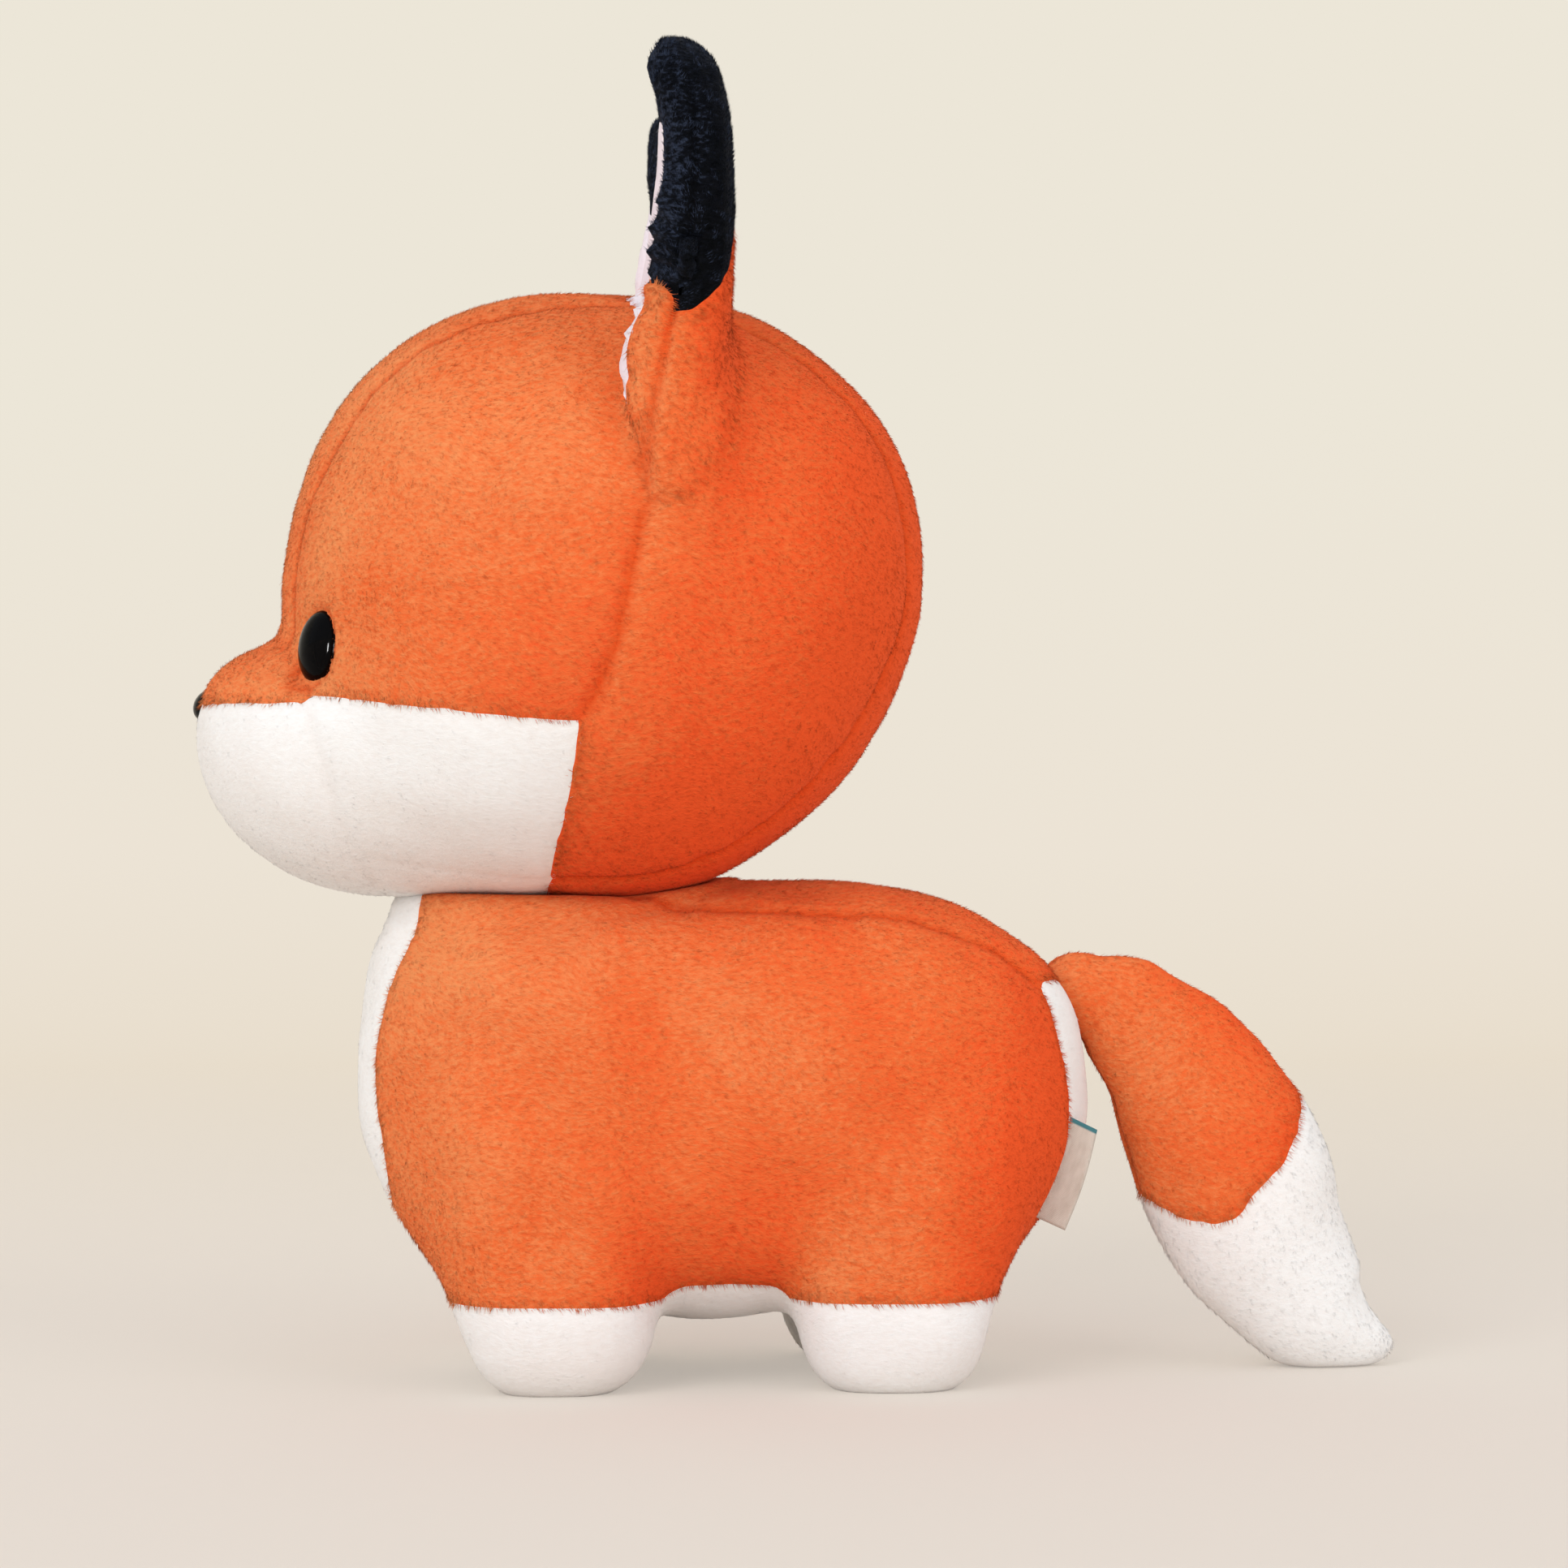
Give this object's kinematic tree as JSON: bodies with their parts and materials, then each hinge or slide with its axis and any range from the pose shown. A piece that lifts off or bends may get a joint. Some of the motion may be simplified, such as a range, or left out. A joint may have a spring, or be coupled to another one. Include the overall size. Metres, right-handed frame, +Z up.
{
  "type": "plush fox",
  "caption": "Soft standing fox with a large round head, domed muzzle, upright ears, short legs and a drooping tail; its tail swings and lifts at the sewn root.",
  "frame": {"origin": "middle of the bounding box, on the floor the paws stand on", "axes": "+Z up, nose towards -X, tail towards +X, the left side of the fox faces -Y"},
  "size_m": [0.3354, 0.1906, 0.357],
  "materials": {
    "orange_plush": "short-pile polyester plush, orange",
    "white_plush": "short-pile polyester plush, white",
    "lining_plush": "short-pile polyester plush, pale lavender white",
    "black_plush": "longer-pile polyester plush, navy black",
    "gloss_black": "polished black plastic",
    "washer_plastic": "natural moulded plastic",
    "polyester_filling": "white polyester fibre filling",
    "ribbon": "woven satin ribbon, blank"
  },
  "bodies": {
    "fox": {"head_front_left": "orange_plush", "head_front_right": "orange_plush", "head_back_left": "orange_plush", "head_back_right": "orange_plush", "cheek_left": "white_plush", "cheek_right": "white_plush", "chin_panel": "white_plush", "crown_strip": "orange_plush", "muzzle_top": "orange_plush", "muzzle_lower": "white_plush", "head_stuffing": "polyester_filling", "eye_left": "gloss_black", "eye_right": "gloss_black", "eye_washer_left": "washer_plastic", "eye_washer_right": "washer_plastic", "nose": "gloss_black", "nose_washer": "washer_plastic", "ear_cover_left": "orange_plush", "ear_cover_right": "orange_plush", "ear_tip_left": "black_plush", "ear_tip_right": "black_plush", "ear_lining_left": "lining_plush", "ear_lining_right": "lining_plush", "ear_stuffing_left": "polyester_filling", "ear_stuffing_right": "polyester_filling", "front_paw_left": "white_plush", "front_paw_right": "white_plush", "front_leg_stuffing_left": "polyester_filling", "front_leg_stuffing_right": "polyester_filling", "rear_paw_left": "white_plush", "rear_paw_right": "white_plush", "rear_leg_stuffing_left": "polyester_filling", "rear_leg_stuffing_right": "polyester_filling", "body_side_left": "orange_plush", "body_side_right": "orange_plush", "back_strip": "orange_plush", "belly_panel": "white_plush", "body_stuffing": "polyester_filling"},
    "tail_root": {"tail_root": "orange_plush"},
    "tail": {"tail_cover_left": "orange_plush", "tail_tip_left": "white_plush", "tail_cover_right": "orange_plush", "tail_tip_right": "white_plush", "tail_stuffing": "polyester_filling"},
    "label": {"sewn_label": "ribbon"}
  },
  "joints": [
    {"name": "tail_swing", "type": "hinge", "parent": "fox", "child": "tail_root", "pos_m": [0.07625, 0, 0.10932], "axis": [0, 0, 1], "range_deg": [-35, 35], "stiffness_Nm_per_rad": 0.004},
    {"name": "tail_lift", "type": "hinge", "parent": "tail_root", "child": "tail", "pos_m": [0.07625, 0, 0.10932], "axis": [0, -1, 0], "range_deg": [0, 70]},
    {"name": "label_flap", "type": "hinge", "parent": "fox", "child": "label", "pos_m": [0.07347, -0.0256, 0.07323], "axis": [0.2177, 0, 0.976], "range_deg": [-60, 60], "stiffness_Nm_per_rad": 0.0003}
  ]
}
